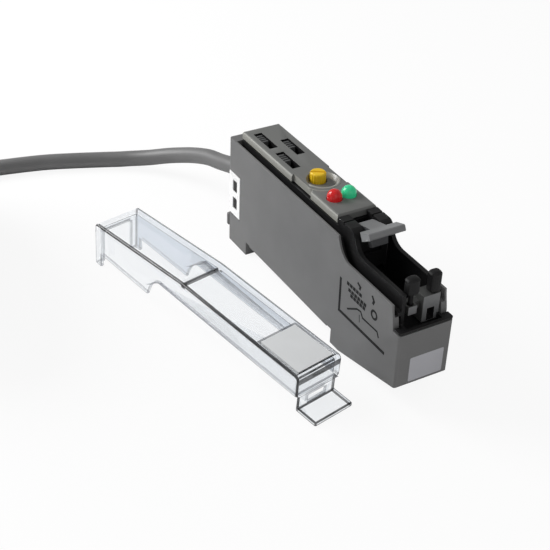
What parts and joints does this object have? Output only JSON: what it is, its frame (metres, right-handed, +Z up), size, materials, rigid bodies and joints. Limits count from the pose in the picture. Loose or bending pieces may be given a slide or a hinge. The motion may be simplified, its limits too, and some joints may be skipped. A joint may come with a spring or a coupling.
{
  "type": "color mark sensor",
  "caption": "Slim dark grey fibre amplifier for a rail, with yellow trimmer, two lamps, lock lever and fibre trough, its clear lid lying beside it and a grey lead.",
  "frame": {"origin": "middle of the rail seat, the flat underside of the case between its two feet", "axes": "+X along the case towards the fibre end, +Y to the right side, +Z up, away from the rail"},
  "size_m": [0.1185, 0.101, 0.0304],
  "materials": {
    "cable_jacket": "grey PVC jacket",
    "case_plastic": "fine satin, dark grey ABS",
    "frame_plastic": "black, satin",
    "panel_plastic": "dark grey, satin",
    "board_laminate": "green solder mask",
    "diode_epoxy": "moulded epoxy",
    "optics_plastic": "matt black",
    "switch_plastic": "black",
    "knob_plastic": "amber yellow",
    "red_lamp": "tinted epoxy",
    "green_lamp": "tinted epoxy",
    "lever_plastic": "mid grey, satin",
    "pin_steel": "drawn steel",
    "lid_clear": "clear polycarbonate",
    "plate_plastic": "pale satin plate",
    "link_plastic": "white, matt",
    "link_filter": "dark filter"
  },
  "bodies": {
    "amplifier": {"cable": "cable_jacket", "cable_hank": "cable_jacket", "case": "case_plastic", "control_board": "board_laminate", "control_panel": "panel_plastic", "emitter_diode": "diode_epoxy", "fibre_guide": "case_plastic", "inner_frame": "frame_plastic", "lamp_green": "green_lamp", "lamp_red": "red_lamp", "lever_pin": "pin_steel", "lid": "lid_clear", "lid_plate": "plate_plastic", "link_frame": "link_plastic", "link_window_lower": "link_filter", "link_window_upper": "link_filter", "main_board": "board_laminate", "optical_block": "optics_plastic", "receiver_diode": "diode_epoxy", "strain_relief": "cable_jacket", "switch_body_1": "switch_plastic", "switch_body_2": "switch_plastic", "switch_body_3": "switch_plastic", "trimmer_body": "switch_plastic"},
    "knob": {"trimmer_knob": "knob_plastic"},
    "slider_1": {"switch_slider_1": "switch_plastic"},
    "slider_2": {"switch_slider_2": "switch_plastic"},
    "slider_3": {"switch_slider_3": "switch_plastic"},
    "lever": {"lock_lever": "lever_plastic"},
    "key_left": {"fibre_key_left": "frame_plastic"},
    "key_right": {"fibre_key_right": "frame_plastic"},
    "latch": {"rail_latch": "case_plastic"}
  },
  "joints": [
    {"name": "sensitivity_turn", "type": "hinge", "parent": "amplifier", "child": "knob", "pos_m": [0.0005, 0, 0.0248], "axis": [0, 0, 1], "range_deg": [-135, 135]},
    {"name": "switch_1_slide", "type": "slide", "parent": "amplifier", "child": "slider_1", "axis": [1, 0, 0], "range_m": [0, 0.0028]},
    {"name": "switch_2_slide", "type": "slide", "parent": "amplifier", "child": "slider_2", "axis": [1, 0, 0], "range_m": [0, 0.0028]},
    {"name": "switch_3_slide", "type": "slide", "parent": "amplifier", "child": "slider_3", "axis": [1, 0, 0], "range_m": [0, 0.0028]},
    {"name": "lock_lever_hinge", "type": "hinge", "parent": "amplifier", "child": "lever", "pos_m": [0.0183, 0, 0.0227], "axis": [0, -1, 0], "range_deg": [-27, 60]},
    {"name": "fibre_key_left_turn", "type": "hinge", "parent": "amplifier", "child": "key_left", "pos_m": [0.0359, -0.00155, 0.02], "axis": [0, 0, 1], "range_deg": [0, 90]},
    {"name": "fibre_key_right_turn", "type": "hinge", "parent": "amplifier", "child": "key_right", "pos_m": [0.0359, 0.0034, 0.02], "axis": [0, 0, 1], "range_deg": [-90, 0]},
    {"name": "rail_latch_slide", "type": "slide", "parent": "amplifier", "child": "latch", "axis": [-1, 0, 0], "range_m": [0, 0.0016], "stiffness_N_per_m": 2500, "springref_m": -0.001}
  ]
}
